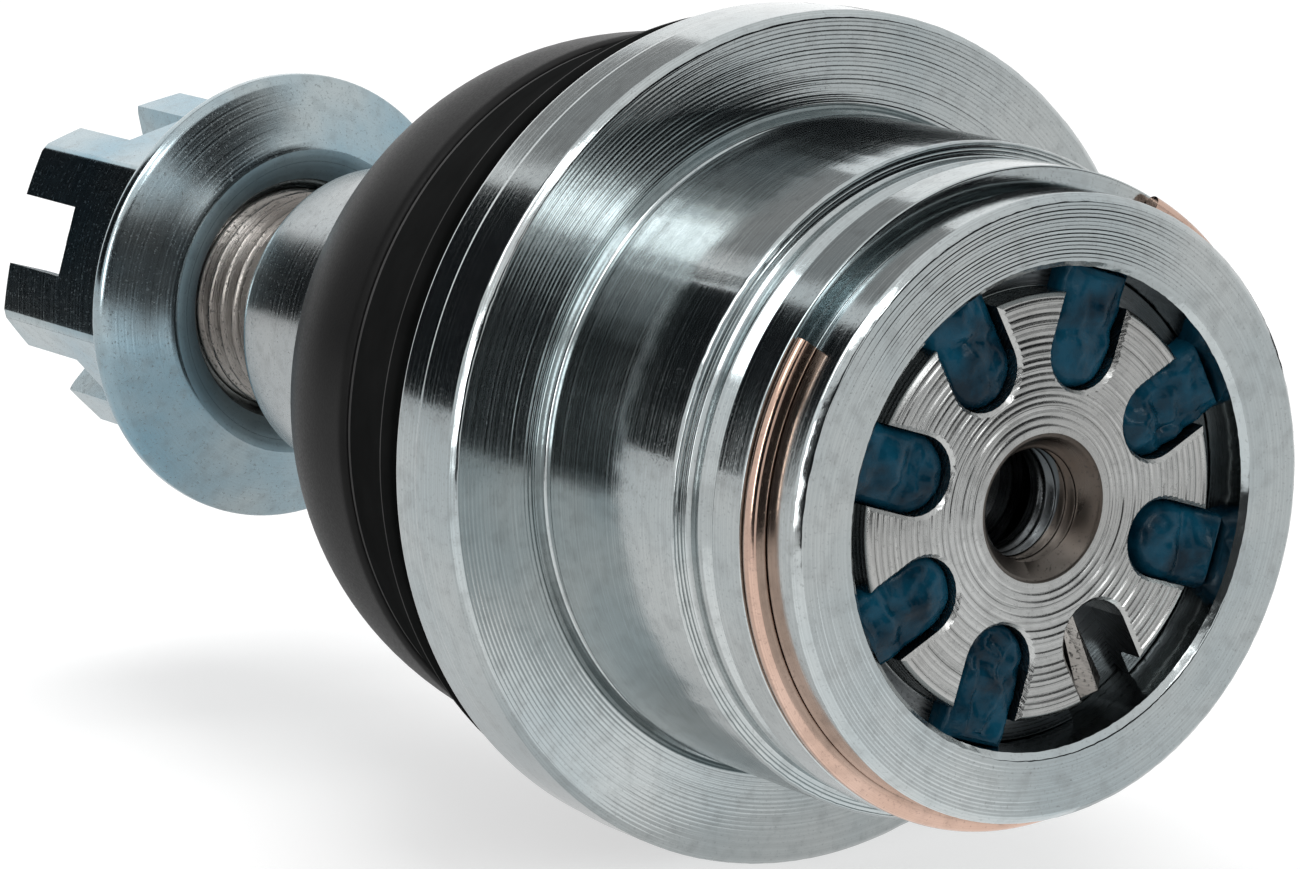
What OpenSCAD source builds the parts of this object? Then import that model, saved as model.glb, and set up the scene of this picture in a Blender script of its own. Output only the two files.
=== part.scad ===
// Press-in ball joint with a threaded end cap, shown with its stud leaning.
// The origin is the centre of the ball, in the plane of the flange's seating face.
// The housing's axis is Y: the end cap faces -Y and the stud points to +Y. Z is up.

/* [Press housing] */
// Diameter of the barrel that presses into the arm
barrel_d = 42.7; // [42.2:0.1:44.5]
// Diameter of the land in front of the ring groove
nose_land_d = 38.9; // [38.4:0.1:40]
// Diameter of the land behind the ring groove
head_land_d = 41.2; // [40.6:0.1:42]
// Distance from the seating face to the front wall of the ring groove
ring_groove_at = 21.55; // [21.2:0.05:22]
// Width of the ring groove
ring_groove_w = 1.25; // [1.2:0.05:1.6]
// Depth of the ring groove below the land in front of it
ring_groove_depth = 0.75; // [0.6:0.05:1]

/* [Flange] */
// Diameter of the flange
flange_d = 55.6; // [52:0.1:68]
// Thickness of the flange
flange_t = 6.8; // [5.5:0.1:8.5]
// Length of the slight taper on the flange's rear edge
flange_back_len = 2.6; // [1:0.1:3]

/* [Rear neck] */
// Diameter of the neck behind the flange
neck_d = 43.6; // [42.6:0.1:52.4]
// Thickness of the neck at its open end
neck_wall = 2.7; // [2:0.1:4]
// Distance from the seating face to the end of the neck
neck_end = 17.5; // [15.5:0.1:18.5]
// Distance from the end of the neck back to the boot groove
boot_groove_in = 2; // [1:0.1:2.6]
// Width of the boot groove
boot_groove_w = 4.5; // [3.5:0.1:5]
// Depth of the boot groove
boot_groove_depth = 1.2; // [0.8:0.1:1.6]

/* [Ball and races] */
// Diameter of the ball
ball_d = 25.4; // [23:0.1:28]
// Thickness of the races beside the ball
race_wall = 2.3; // [1.6:0.1:2.8]
// Angle past the ball's equator that the upper race wraps
race_wrap = 24; // [18:1:26]
// Thickness of the pressure plate
plate_t = 1.2; // [1:0.1:2]
// Room along the axis for the two disc springs
spring_space = 2.5; // [2.2:0.1:4]

/* [End cap] */
// Depth of the cap's face below the housing's end face
cap_recess = 1.2; // [0.8:0.1:2]
// Thickness of the cap
cap_t = 5.6; // [5:0.1:6.8]
// Gap from the edge of the cap's raised face to the bore
cap_face_gap = 1.7; // [1:0.1:2]
// Height of the step round the cap's face
cap_step = 2.2; // [1.8:0.1:2.8]
// Number of spanner slots
slot_count = 8; // [4:1:8]
// Width of a spanner slot
slot_w = 5; // [4:0.1:5.4]
// Distance from the axis to the round inner end of a slot
slot_inner_r = 7.4; // [7:0.1:8.4]
// Depth of a slot
slot_depth = 3.4; // [2.4:0.1:4]
// Angle of the slot that holds no locking compound
open_slot_angle = -63.5; // [-90:0.5:0]
// Bore of the threaded grease port
port_d = 6.92; // [6.2:0.01:8.3]
// Width of the port's countersink
port_chamfer = 1.04; // [0.5:0.01:1.5]

/* [Retaining ring] */
// Outside diameter of the ring
ring_d = 41.3; // [40.8:0.1:42.2]
// Thickness of the ring along the axis
ring_t = 1.1; // [0.9:0.05:1.2]
// Angle of the ring's gap
ring_gap = 84; // [30:1:110]
// Angle of the ring's visible free end
ring_end_angle = 144.3; // [120:0.1:170]

/* [Stud] */
// Diameter of the neck between ball and taper
stud_neck_d = 14.8; // [13:0.1:15]
// Distance from the ball's centre to the small end of the taper
taper_end = 49.4; // [46:0.1:54]
// Diameter at the small end of the taper
taper_end_d = 21.7; // [20.5:0.1:26]
// Growth of the taper's diameter per unit of length
taper_rate = 0.125; // [0.08:0.005:0.14]
// Diameter of the thread
thread_d = 16; // [14:0.1:19.2]
// Distance from the ball's centre to the end of the stud
stud_len = 78.3; // [75:0.1:94]
// Diameter of the cotter hole
cotter_d = 4; // [3:0.1:4.5]
// Lean of the stud away from the housing's axis
stud_lean = 4.2; // [0:0.1:6]
// Direction of the lean, from +X towards +Z
lean_side = 168; // [0:1:359]

/* [Castle nut] */
// Width across the nut's flats
nut_af = 22; // [21:0.1:26]
// Height of the nut over its fingers
nut_h = 21.2; // [19.5:0.1:23]
// Distance that the nut's fingers stand past the end of the stud
nut_past_stud = 0.7; // [0.2:0.1:2]
// Diameter of the nut's flange
nut_flange_d = 32.4; // [32:0.1:36]
// Thickness of the flange's rim
nut_rim_t = 2.2; // [1.5:0.1:3]
// Height of the cone from the rim to the flats
nut_cone_h = 4.6; // [3:0.1:6]
// Width of the countersink in the bearing face
nut_countersink = 1.1; // [0.6:0.1:1.5]
// Width of a cotter slot
nut_slot_w = 5.2; // [3.6:0.1:5.6]
// Depth of a cotter slot
nut_slot_depth = 6.8; // [4:0.1:8]
// Turn of the nut, from +X towards +Z
nut_turn = 163; // [0:1:359]

/* [Boot] */
// How far the boot stands out from the neck where it leaves its clamp
boot_base_out = 2.6; // [2.2:0.1:3.4]
// Distance from the end of the neck to the boot's shoulder
boot_side = 9.5; // [8.5:0.1:11]
// Diameter of the boot at its shoulder
boot_shoulder_d = 45; // [42:0.5:46]
// Distance from the ball's centre to the boot's lip
boot_lip_at = 36.8; // [36.2:0.1:38]
// Thickness of the boot's wall
boot_wall = 1.9; // [1.4:0.1:2.2]
// Thickness of the clamp at its front
clamp_front_wall = 3.6; // [2:0.1:4]
// Thickness of the clamp at its rear
clamp_rear_wall = 0.8; // [0.6:0.1:1.5]

/* [Hidden] */
$fn = 96;

e = 0.01;            // overlap that keeps cuts clean
run_fit = 0.05;      // radial clearance of a running or screwed fit
soft_gap = 0.3;      // clearance round rubber pieces
play = 0.05;         // axial play between stacked pieces
edge = 0.4;          // small edge break

// ball and races, stacked from the ball towards the cap
ball_r = ball_d / 2;
seat_r = ball_r + run_fit;
bore_r = ball_r + race_wall;
race_r = bore_r - run_fit;
race_lip_y = ball_r * sin(race_wrap);        // end of the upper race's grip on the ball
race_lip_r = seat_r * cos(race_wrap);
shoulder_y = race_lip_y + 1;                 // shoulder that carries the upper race
race_split = 0.4;                            // gap between the two races
lower_race_top = -1;
lower_race_floor = -seat_r - 1.1;
grease_hole_r = 4;                           // passage through the race and the plate
plate_back = lower_race_floor - play;
plate_front = plate_back - plate_t;

// end cap
cap_inner_y = plate_front - spring_space;
cap_face_y = cap_inner_y - cap_t;
cap_face_r = bore_r - cap_face_gap;
cap_thread_r = bore_r - run_fit;
compound_gap = 0.02;                         // keeps the compound off the slot walls
o_ring_r = 0.55;
o_ring_room = 0.05;
o_ring_at_r = cap_thread_r - o_ring_r - o_ring_room;
o_groove_r = o_ring_at_r - o_ring_r - o_ring_room;
o_groove_w = 2 * (o_ring_r + o_ring_room);
spring_t = 0.75;
spring_cone = (spring_space - 3 * play) / 2 - spring_t;
spring_out_r = bore_r - 0.8;
spring_in_r = grease_hole_r + 1.2;

// housing
end_y = cap_face_y - cap_recess;
groove_front = -ring_groove_at;
groove_back = groove_front + ring_groove_w;
groove_r = nose_land_d / 2 - ring_groove_depth;
barrel_r = barrel_d / 2;
undercut_w = 1.1;                            // relief between the barrel and the seat
undercut_r = barrel_r - 0.6;
relief_r = barrel_r + 0.1;
relief_depth = 0.15;
barrel_back = -undercut_w;
barrel_front = barrel_back - 9.9;
lead_in = 2;
bead_back = barrel_front - lead_in;
bead_w = 1.7;
bead_gap = 0.4;
bead_round = 0.3;
bead_r = head_land_d / 2 - 0.05;
bead_mid = bead_back - bead_w;
bead_front = bead_mid - bead_gap - bead_w;
step_w = 0.7;
step_r = head_land_d / 2 - 0.7;
neck_r = neck_d / 2;
flange_r = flange_d / 2;
mouth_r = ball_r + 0.3;
mouth_end_r = neck_r - neck_wall;
boot_groove_back = neck_end - boot_groove_in;
boot_groove_at = boot_groove_back - boot_groove_w;

// stud and nut
thread_r = thread_d / 2;
taper_r = taper_end_d / 2;
stud_neck_r = stud_neck_d / 2;
stud_fillet = 0.3;                           // widening where the neck meets the ball
ball_flat = 0.5;
thread_chamfer = 1.2;
lip_hold = 4.2;                              // length of the boot's grip on the taper
taper_start = boot_lip_at - lip_hold - 0.6;
taper_flare = 7;                             // length from the neck out to the taper
nut_tip = stud_len + nut_past_stud;
nut_at = nut_tip - nut_h;
nut_corner_r = nut_af / 2 / cos(30);
nut_finger_chamfer = 1.6;
cotter_at = nut_tip - nut_slot_depth + cotter_d / 2 + 0.2;

// boot and clamp
clamp_front = boot_groove_at - 0.2;
clamp_back = neck_end + 0.9;
sleeve_wall = 0.8;
sleeve_in_r = neck_r + soft_gap;
sleeve_out_r = sleeve_in_r + sleeve_wall;
clamp_in_r = sleeve_out_r + soft_gap;
boot_base_r = neck_r + boot_base_out;
boot_base_at = clamp_back + 0.5;
boot_shoulder_r = boot_shoulder_d / 2;
boot_shoulder_at = neck_end + boot_side;
boot_lip_r = taper_at(boot_lip_at) + 1.6;
boot_side_bulge = 1.15;                      // 1 would make the side straight
boot_dome_bulge = 1.2;                       // 1 would make the dome a cone
neck_ring_t = 1.4;
neck_ring_wall = 1.1;
neck_ring_at = boot_lip_at - 2.8;
neck_ring_r = taper_at(neck_ring_at) + 0.4;
neck_ring_out_r = neck_ring_r + neck_ring_wall;

// radius of the taper at a distance from the ball's centre
function taper_at(y) = taper_r + (taper_end - y) * taper_rate / 2;

// lays a piece turned round Z along the housing's axis
module along_axis() rotate([-90, 0, 0]) children();

// lays a piece turned round Z along the leaning stud
module along_stud()
    rotate([-90, 0, 0]) rotate([0, 0, -lean_side]) rotate([0, stud_lean, 0])
        rotate([0, 0, lean_side]) children();

// turned solid from an outline of [radius, distance] points
module turned(outline) rotate_extrude() polygon(outline);

// straight round bar from one distance to another
module bar(r, from, to) translate([0, 0, from]) cylinder(r = r, h = to - from);

// cone from one distance and radius to another
module taper(r_from, r_to, from, to)
    translate([0, 0, from]) cylinder(r1 = r_from, r2 = r_to, h = to - from);

module housing() {
    nose_r = nose_land_d / 2;
    head_r = head_land_d / 2;
    groove_floor_r = neck_r - boot_groove_depth;
    outline = [
        [0, end_y], [nose_r - edge, end_y], [nose_r, end_y + edge],
        [nose_r, groove_front], [groove_r, groove_front], [groove_r, groove_back],
        [head_r, groove_back], [head_r, bead_front - step_w],
        [step_r, bead_front - step_w], [step_r, bead_front],
        [bead_r - bead_round, bead_front], [bead_r, bead_front + bead_round],
        [bead_r, bead_mid - bead_gap], [bead_r - bead_round, bead_mid - bead_gap],
        [bead_r - bead_round, bead_mid], [bead_r, bead_mid],
        [bead_r, bead_back - bead_round], [bead_r - bead_round, bead_back],
        [barrel_r, barrel_front], [barrel_r, barrel_back],
        [undercut_r, barrel_back + edge], [undercut_r, relief_depth],
        [relief_r, relief_depth], [relief_r, 0],
        [flange_r - edge, 0], [flange_r, edge], [flange_r, flange_t - flange_back_len],
        [flange_r - edge, flange_t], [neck_r, flange_t],
        [neck_r, boot_groove_at], [groove_floor_r, boot_groove_at],
        [groove_floor_r, boot_groove_back], [neck_r, boot_groove_back],
        [neck_r, neck_end - edge], [neck_r - edge, neck_end], [0, neck_end]
    ];
    color("lightsteelblue") along_axis() difference() {
        turned(outline);
        bar(bore_r, end_y - 1, shoulder_y);
        taper(bore_r + edge, bore_r, end_y - e, end_y + edge);
        taper(mouth_r, mouth_end_r, shoulder_y - e, neck_end + e);
    }
}

// one spanner slot's outline, from its round inner end out past the rim
module slot_outline(w, out_r) {
    inner = slot_inner_r + slot_w / 2;
    translate([inner, 0]) circle(d = w);
    translate([inner, -w / 2]) square([out_r - inner, w]);
}

// turns a slot to its place round the cap
module at_slot(i) rotate([0, 0, -open_slot_angle - i * 360 / slot_count]) children();

module end_cap() {
    outline = [
        [0, cap_face_y], [cap_face_r - edge, cap_face_y], [cap_face_r, cap_face_y + edge],
        [cap_face_r, cap_face_y + cap_step], [cap_thread_r, cap_face_y + cap_step],
        [cap_thread_r, cap_inner_y - o_groove_w], [o_groove_r, cap_inner_y - o_groove_w],
        [o_groove_r, cap_inner_y], [0, cap_inner_y]
    ];
    color("silver") along_axis() difference() {
        turned(outline);
        for (i = [0 : slot_count - 1])
            at_slot(i) translate([0, 0, cap_face_y - 1])
                linear_extrude(slot_depth + 1) slot_outline(slot_w, bore_r + 2);
        bar(port_d / 2, cap_face_y - 1, cap_inner_y + 1);
        taper(port_d / 2 + port_chamfer, port_d / 2, cap_face_y - e, cap_face_y + port_chamfer);
    }
}

// plugs of hard locking compound, one in every slot but the open one
module lock_compound() {
    fill_t = slot_depth - 0.2;
    color("midnightblue") along_axis() intersection() {
        bar(bore_r - compound_gap, cap_face_y - 1, cap_inner_y);
        for (i = [1 : slot_count - 1])
            at_slot(i) translate([0, 0, cap_face_y + 0.2])
                linear_extrude(fill_t - compound_gap)
                    slot_outline(slot_w - 2 * compound_gap, bore_r + 1);
    }
}

module retaining_ring() {
    r_out = ring_d / 2;
    r_in = groove_r + run_fit;
    front = groove_front + (ring_groove_w - ring_t) / 2;
    c = 0.25;
    section = [
        [r_in, front], [r_out - c, front], [r_out, front + c], [r_out, front + ring_t - c],
        [r_out - c, front + ring_t], [r_in, front + ring_t]
    ];
    color("peru") along_axis() rotate([0, 0, -ring_end_angle - 360 + ring_gap])
        rotate_extrude(angle = 360 - ring_gap) polygon(section);
}

module cap_o_ring() {
    color([0.1, 0.1, 0.1]) along_axis()
        translate([0, 0, cap_inner_y - o_groove_w / 2])
            rotate_extrude() translate([o_ring_at_r, 0]) circle(r = o_ring_r, $fn = 32);
}

// dished spring washer, cupped towards the cap or away from it
module disc_spring(from, rim_first) {
    rim = rim_first ? from : from + spring_cone;
    hub = rim_first ? from + spring_cone : from;
    color("dimgray") along_axis() turned([
        [spring_in_r, hub], [spring_out_r, rim],
        [spring_out_r, rim + spring_t], [spring_in_r, hub + spring_t]
    ]);
}

module disc_spring_outer() disc_spring(cap_inner_y + play, true);

module disc_spring_inner()
    disc_spring(cap_inner_y + 2 * play + spring_t + spring_cone, false);

module pressure_plate() {
    color("gray") along_axis() difference() {
        bar(race_r - soft_gap, plate_front, plate_back);
        bar(grease_hole_r, plate_front - 1, plate_back + 1);
    }
}

module lower_race() {
    color("darkgray") along_axis() difference() {
        bar(race_r, lower_race_floor, lower_race_top);
        sphere(r = seat_r);
        bar(grease_hole_r, lower_race_floor - 1, 0);
    }
}

module upper_race() {
    flare = 0.8;
    color("darkgray") along_axis() difference() {
        bar(race_r, lower_race_top + race_split, shoulder_y - play);
        sphere(r = seat_r);
        taper(race_lip_r, race_lip_r + flare, race_lip_y, shoulder_y);
    }
}

module ball_stud() {
    root_r = stud_neck_r + stud_fillet;
    root_y = sqrt(ball_r * ball_r - root_r * root_r) - 0.5;
    color("lightgray") along_stud() difference() {
        union() {
            intersection() {
                sphere(r = ball_r);
                bar(ball_r + 1, ball_flat - ball_r, ball_r);
            }
            turned([
                [0, 0], [root_r, 0], [root_r, root_y], [stud_neck_r, root_y + 2],
                [stud_neck_r, taper_start - taper_flare],
                [taper_at(taper_start), taper_start], [taper_r, taper_end],
                [taper_r - 0.5, taper_end + 0.3], [thread_r, taper_end + 0.7],
                [thread_r, stud_len - thread_chamfer],
                [thread_r - thread_chamfer, stud_len], [0, stud_len]
            ]);
        }
        translate([0, 0, cotter_at]) rotate([0, 0, -nut_turn - 30]) rotate([0, 90, 0])
            cylinder(d = cotter_d, h = thread_d + 2, center = true, $fn = 48);
    }
}

// share of the stud's lean that the boot has taken up at a distance
function boot_share(y) =
    min(1, max(0, (y - neck_end) / (boot_lip_at - lip_hold - neck_end)));

// point of the boot, turned round its own bent axis
function boot_point(r, y, turn) =
    let (lean = stud_lean * boot_share(y), a = r * cos(turn), b = r * sin(turn))
    [a * cos(lean) + y * sin(lean), b, -a * sin(lean) + y * cos(lean)];

// point of the boot's side, 0 at its base and 1 at its shoulder, set in by a wall
function boot_side_at(s, wall) = [
    boot_base_r - wall - (boot_base_r - boot_shoulder_r) * pow(s, boot_side_bulge),
    boot_base_at + (boot_shoulder_at - boot_base_at) * s - wall / 4
];

// point of the boot's dome, 0 at its shoulder and 1 at its lip, set in by a wall
function boot_dome_at(s, wall) = [
    boot_shoulder_r - wall
        - (boot_shoulder_r - boot_lip_r) * pow(s, boot_dome_bulge),
    boot_shoulder_at + (boot_lip_at - boot_shoulder_at) * s - wall / 2
];

module boot() {
    groove_in = neck_r - boot_groove_depth + soft_gap;
    taper_gap = 0.35;
    ring_out = neck_ring_out_r + soft_gap;
    ring_front = neck_ring_at - soft_gap;
    ring_back = neck_ring_at + neck_ring_t + soft_gap;
    pocket_r = taper_at(boot_lip_at) + 0.5;
    steps = 5;
    inner_dome_end = 0.5;
    outline = concat(
        [[groove_in, boot_groove_at + soft_gap], [sleeve_out_r, boot_groove_at + soft_gap]],
        [[sleeve_out_r, clamp_back + 0.1]],
        [for (i = [0 : steps - 1]) boot_side_at(i / steps, 0)],
        [for (i = [0 : steps]) boot_dome_at(i / steps, 0)],
        [[pocket_r, boot_lip_at], [taper_at(boot_lip_at) + taper_gap, boot_lip_at - 0.6]],
        [[pocket_r, ring_back], [ring_out, ring_back], [ring_out, ring_front]],
        [[pocket_r, ring_front], [pocket_r - 0.1, boot_lip_at - lip_hold]],
        [for (i = [3 : -1 : 1]) boot_dome_at(inner_dome_end * i / 3, boot_wall)],
        [for (i = [steps : -1 : 1]) boot_side_at(i / steps, boot_wall)],
        [[sleeve_in_r, neck_end + 0.3]],
        [[sleeve_in_r, boot_groove_back - soft_gap], [groove_in, boot_groove_back - soft_gap]]
    );
    turns = 64;
    count = len(outline);
    points = [
        for (i = [0 : turns - 1]) for (p = outline) boot_point(p[0], p[1], i * 360 / turns)
    ];
    faces = [
        for (i = [0 : turns - 1]) for (j = [0 : count - 1])
            let (i2 = (i + 1) % turns, j2 = (j + 1) % count)
            [i * count + j, i2 * count + j, i2 * count + j2, i * count + j2]
    ];
    color([0.16, 0.16, 0.16]) rotate([-90, 0, 0]) rotate([0, 0, -lean_side])
        polyhedron(points, faces);
}

module boot_clamp() {
    front_r = clamp_in_r + clamp_front_wall;
    rear_r = clamp_in_r + clamp_rear_wall;
    color([0.05, 0.05, 0.05]) along_axis() turned([
        [clamp_in_r, clamp_front], [front_r - edge, clamp_front],
        [front_r, clamp_front + edge], [rear_r, clamp_back - 0.3],
        [rear_r - 0.2, clamp_back], [clamp_in_r, clamp_back]
    ]);
}

module boot_neck_ring() {
    color("gray") along_stud() turned([
        [neck_ring_r, neck_ring_at], [neck_ring_out_r, neck_ring_at],
        [neck_ring_out_r, neck_ring_at + neck_ring_t], [neck_ring_r, neck_ring_at + neck_ring_t]
    ]);
}

module castle_nut() {
    rim_r = nut_flange_d / 2;
    rim_back = nut_at + nut_rim_t;
    cone_back = rim_back + nut_cone_h;
    finger_from = nut_tip - nut_slot_depth;
    reach = nut_corner_r + 1;
    color("lightsteelblue") along_stud() rotate([0, 0, -nut_turn]) difference() {
        union() {
            turned([
                [0, nut_at], [rim_r - 0.6, nut_at + 0.3], [rim_r, nut_at + 0.8],
                [rim_r - edge, rim_back], [nut_af / 2 - 0.5, cone_back + 1],
                [0, cone_back + 1]
            ]);
            intersection() {
                translate([0, 0, rim_back - 1]) rotate([0, 0, 30])
                    cylinder(r = nut_corner_r, h = nut_tip - rim_back + 1, $fn = 6);
                turned([
                    [0, nut_at], [rim_r - edge, rim_back], [nut_corner_r, cone_back],
                    [nut_corner_r, nut_tip - 1], [nut_corner_r - nut_finger_chamfer, nut_tip],
                    [0, nut_tip]
                ]);
            }
        }
        bar(thread_r + run_fit, nut_at - 2, nut_tip + 1);
        taper(thread_r + nut_countersink + e, thread_r, nut_at - e, nut_at + nut_countersink);
        for (i = [0 : 2])
            rotate([0, 0, i * 60]) translate([-reach, -nut_slot_w / 2, finger_from])
                cube([2 * reach, nut_slot_w, nut_slot_depth + 1]);
    }
}

housing();
end_cap();
lock_compound();
retaining_ring();
cap_o_ring();
disc_spring_outer();
disc_spring_inner();
pressure_plate();
lower_race();
upper_race();
ball_stud();
boot();
boot_clamp();
boot_neck_ring();
castle_nut();
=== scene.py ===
# %% [markdown]
# # A press-in ball joint
#
# This lesson dresses a finished construction model of a ball joint. The joint has a turned
# and zinc plated housing, a slotted end cap sealed with blue compound, a copper coloured snap
# ring, a rubber boot, a tapered stud and a castle nut with a wide flange.
# The construction model gives the bodies, their motion and nearly every size. The script makes
# the visible pieces finer and gives them their finish. It also mends two places where the
# construction model is a little off: the front end of the barrel and the front edge of the clamp.

# %% Load the frame
import bmesh
import bpy
import math
import random
from mathutils import Matrix, Vector, noise


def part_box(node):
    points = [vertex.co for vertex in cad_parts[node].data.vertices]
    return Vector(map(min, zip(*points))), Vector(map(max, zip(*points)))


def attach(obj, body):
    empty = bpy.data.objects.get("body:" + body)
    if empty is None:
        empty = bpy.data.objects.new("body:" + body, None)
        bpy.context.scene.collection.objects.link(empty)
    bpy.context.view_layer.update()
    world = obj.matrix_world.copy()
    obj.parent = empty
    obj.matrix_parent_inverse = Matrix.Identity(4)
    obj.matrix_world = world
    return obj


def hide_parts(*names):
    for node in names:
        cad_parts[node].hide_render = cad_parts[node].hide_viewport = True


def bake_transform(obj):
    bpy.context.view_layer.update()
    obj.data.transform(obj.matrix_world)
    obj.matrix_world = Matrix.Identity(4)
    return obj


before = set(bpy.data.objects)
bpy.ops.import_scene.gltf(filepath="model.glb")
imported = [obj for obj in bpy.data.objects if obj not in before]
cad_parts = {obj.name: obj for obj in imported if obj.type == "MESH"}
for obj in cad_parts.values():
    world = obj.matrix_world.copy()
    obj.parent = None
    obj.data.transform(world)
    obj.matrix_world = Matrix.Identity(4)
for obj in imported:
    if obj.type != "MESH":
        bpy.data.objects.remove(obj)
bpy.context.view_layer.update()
MM = 0.001
TURN = 2 * math.pi

# %% [markdown]
# Almost every piece here was made on a lathe, so the script measures the frame first and
# keeps the few sizes that the turned outlines share. The origin is the centre of the ball,
# in the plane where the flange seats. The housing lies along Y and the stud leans a little.

# %% Shared sizes, in millimetres
low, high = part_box("housing")
END_Y = low.y / MM
NECK_END = high.y / MM
FLANGE_R = high.x / MM
BORE_R = 15.0
NOSE_R = 19.45
HEAD_R = 20.6
BARREL_R = 21.35
NECK_R = 21.8
CAP_FACE_Y = END_Y + 1.2
CAP_FACE_R = 13.3
PORT_R = 3.46
SLOT_W = 5.0
SLOT_INNER_R = 7.4
SLOT_COUNT = 8
OPEN_SLOT = math.radians(-63.5)
STUD_LEAN = math.radians(4.2)
LEAN_SIDE = math.radians(168)
NUT_AT = 57.8
NUT_TIP = 79.0
NUT_TURN = math.radians(163)
print(f"end face {END_Y:.2f}, neck end {NECK_END:.2f}, flange radius {FLANGE_R:.2f} mm")

# %% [markdown]
# The stud leans towards one side. One matrix carries anything that was made upright along Y
# onto the leaning stud, and its inverse lets a finish find the stud's axis again.

# %% The stud's lean
lean_to = Vector((math.cos(LEAN_SIDE), 0, math.sin(LEAN_SIDE)))
STUD_AXIS = (Vector((0, 1, 0)) * math.cos(STUD_LEAN) + lean_to * math.sin(STUD_LEAN)).normalized()
TO_STUD = Vector((0, 1, 0)).rotation_difference(STUD_AXIS).to_matrix().to_4x4()
print("stud axis:", [round(v, 4) for v in STUD_AXIS])

# %% [markdown]
# ## Outlines
#
# A turned piece is an outline of radius and length. Real tools leave small rounds at every
# corner, and these rounds catch the light, so each corner may carry a radius. A cutting tool
# that crosses a face also leaves fine ridges. They are part of the outline too, so they are
# real shape and not only a trick of the shading. A long straight run also gets a row close
# to each end, which keeps its shading flat right up to the corner.


# %% Rounded corners and turning lines
def rounded(outline, steps=4):
    """Outline of (radius, y, round, finish): every corner with a round becomes a short arc."""
    count = len(outline)
    rows = []
    for i, (r, y, fillet, finish) in enumerate(outline):
        here = Vector((r, y))
        if fillet <= 0 or i in (0, count - 1):
            rows.append((here, finish))
            continue
        before = (Vector(outline[i - 1][:2]) - here)
        after = (Vector(outline[i + 1][:2]) - here)
        reach = min(fillet, before.length * 0.45, after.length * 0.45)
        start = here + before.normalized() * reach
        end = here + after.normalized() * reach
        for k in range(steps + 1):
            t = k / steps
            bend = start * (1 - t) ** 2 + here * 2 * t * (1 - t) + end * t * t
            rows.append((bend, finish if k == steps else None))
    return rows


def turning_lines(rows, seed=1):
    """Splits each finished stretch into fine ridges: finish is (pitch, depth) in mm."""
    dice = random.Random(seed)
    points = []
    for (here, finish), (after, _) in zip(rows, rows[1:]):
        points.append(here)
        along = after - here
        if finish is None:
            if along.length > 0.4:
                hold = 0.06 / along.length
                points += [here + along * hold, after - along * hold]
            continue
        pitch, depth = finish
        ridges = max(1, int(along.length / pitch))
        inward = Vector((-along.y, along.x)).normalized()
        for k in range(ridges):
            cut = depth * dice.uniform(0.55, 1.0)
            for part, share in ((0.3, 0.35), (0.5, 1.0), (0.72, 0.9), (0.9, 0.25)):
                t = (k + part) / ridges
                points.append(here + along * t + inward * cut * share)
    points.append(rows[-1][0])
    return points


def outline_mesh(name, points):
    """A chain of edges in the XY plane, x for the radius and y along the axis, in metres."""
    mesh = bpy.data.meshes.new(name)
    places = [(p[0] * MM, p[1] * MM, 0) for p in points]
    mesh.from_pydata(places, [(i, i + 1) for i in range(len(points) - 1)], [])
    return mesh


print("outline tools ready")

# %% [markdown]
# ## A lathe made of nodes
#
# A lathe could be a screw modifier, but threads need more than a plain turn. This tree lays
# out a grid with one column per step round the axis and one row per outline point, then
# moves each grid point to its place. Between two lengths it can also cut a thread: the cut
# depends on the angle and the length together, which is what makes a helix.

# %% Small helpers for node trees
def add_node(tree, kind, values=None, **settings):
    node = tree.nodes.new(kind)
    for key, value in settings.items():
        setattr(node, key, value)
    for key, value in (values or {}).items():
        if isinstance(value, bpy.types.NodeSocket):
            tree.links.new(value, node.inputs[key])
        else:
            node.inputs[key].default_value = value
    return node


def calc(tree, operation, a, b=None, c=None):
    """A Math node: numbers or sockets in, its result out."""
    values = {i: v for i, v in enumerate((a, b, c)) if v is not None}
    return add_node(tree, "ShaderNodeMath", values, operation=operation).outputs[0]


def named_input(tree, name, kind, value=None):
    socket = tree.interface.new_socket(name, in_out="INPUT", socket_type=kind)
    if value is not None:
        socket.default_value = value
    return socket


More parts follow.
